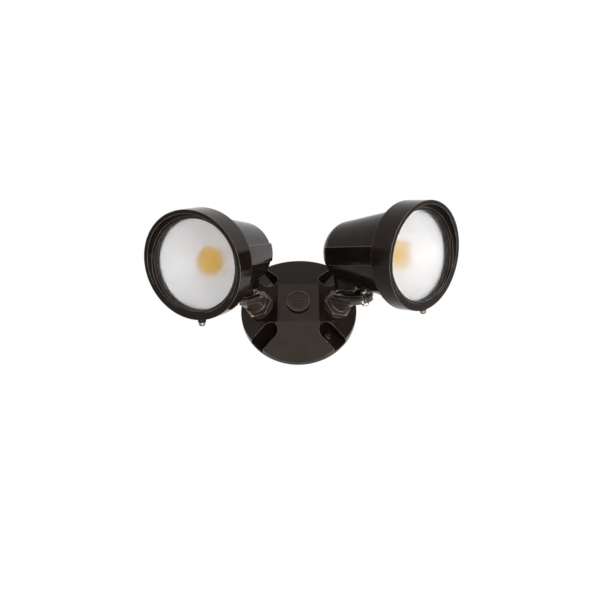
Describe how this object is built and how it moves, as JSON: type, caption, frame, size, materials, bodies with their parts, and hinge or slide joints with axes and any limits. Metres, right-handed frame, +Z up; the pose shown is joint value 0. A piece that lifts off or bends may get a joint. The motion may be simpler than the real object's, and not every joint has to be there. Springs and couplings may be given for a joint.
{
  "type": "flood light",
  "caption": "Round wall or ceiling cover with a raised square hub carrying two aimable hooded lamp heads on threaded swivel arms.",
  "frame": {"origin": "centre of the flat wall face at the back of the wall gasket", "axes": "+Y points into the wall, -Y points out to where the light shines, +X runs to the right seen from the front and +Z is up"},
  "size_m": [0.3092, 0.2073, 0.1338],
  "materials": {
    "bronze_paint": "gloss dark bronze",
    "plug_paint": "gloss dark bronze",
    "gasket": "matte black",
    "screw_steel": "zinc plated",
    "screw_dark": "bronze coated steel",
    "frosted_glass": "frosted",
    "reflector": "satin",
    "board": "white solder mask",
    "phosphor": "silicone coated",
    "bare_aluminium": "machined",
    "driver_case": "moulded",
    "lead_insulation": "smooth"
  },
  "bodies": {
    "cover": {"cover_plate": "bronze_paint", "wall_gasket": "gasket", "hub_plug": "plug_paint", "plug_gasket": "gasket", "port_washers": "gasket", "cover_screws": "screw_dark"},
    "left_arm": {"left_arm": "bronze_paint", "left_clamp_bolts": "screw_steel", "left_clamp_washers": "screw_steel", "left_clamp_nut": "screw_steel"},
    "left_lock_nut": {"left_lock_nut": "bronze_paint"},
    "left_head": {"left_housing": "bronze_paint", "left_flange_gasket": "gasket", "left_bezel": "bronze_paint", "left_bezel_screw": "screw_steel", "left_lens": "frosted_glass", "left_lens_gasket": "gasket", "left_body_seal": "gasket", "left_reflector": "reflector", "left_led_board": "board", "left_led_emitter": "phosphor", "left_heat_spreader": "bare_aluminium", "left_board_screws": "screw_steel", "left_spreader_screws": "screw_steel", "left_driver": "driver_case", "left_driver_screws": "screw_steel", "left_led_leads": "lead_insulation"},
    "right_arm": {"right_arm": "bronze_paint", "right_clamp_bolts": "screw_steel", "right_clamp_washers": "screw_steel", "right_clamp_nut": "screw_steel"},
    "right_lock_nut": {"right_lock_nut": "bronze_paint"},
    "right_head": {"right_housing": "bronze_paint", "right_flange_gasket": "gasket", "right_bezel": "bronze_paint", "right_bezel_screw": "screw_steel", "right_lens": "frosted_glass", "right_lens_gasket": "gasket", "right_body_seal": "gasket", "right_reflector": "reflector", "right_led_board": "board", "right_led_emitter": "phosphor", "right_heat_spreader": "bare_aluminium", "right_board_screws": "screw_steel", "right_spreader_screws": "screw_steel", "right_driver": "driver_case", "right_driver_screws": "screw_steel", "right_led_leads": "lead_insulation"}
  },
  "joints": [
    {"name": "left_swivel", "type": "hinge", "parent": "cover", "child": "left_arm", "pos_m": [-0.0416, -0.01715, 0], "axis": [-0.4205, -0.9073, 0], "range_deg": [-150, 150]},
    {"name": "left_aim", "type": "hinge", "parent": "left_arm", "child": "left_head", "pos_m": [-0.05855, -0.04745, -0.00556], "axis": [0.0875, -0.6569, 0.7489], "range_deg": [-38, 18]},
    {"name": "left_lock_turn", "type": "hinge", "parent": "cover", "child": "left_lock_nut", "pos_m": [-0.0416, -0.01715, 0], "axis": [-0.4205, -0.9073, 0], "range_deg": [0, 90]},
    {"name": "right_swivel", "type": "hinge", "parent": "cover", "child": "right_arm", "pos_m": [0.0416, -0.01715, 0], "axis": [0.4205, -0.9073, 0], "range_deg": [-150, 150]},
    {"name": "right_aim", "type": "hinge", "parent": "right_arm", "child": "right_head", "pos_m": [0.05915, -0.04717, -0.00519], "axis": [-0.1679, -0.6941, 0.7], "range_deg": [-34, 22]},
    {"name": "right_lock_turn", "type": "hinge", "parent": "cover", "child": "right_lock_nut", "pos_m": [0.0416, -0.01715, 0], "axis": [0.4205, -0.9073, 0], "range_deg": [0, 90]}
  ]
}
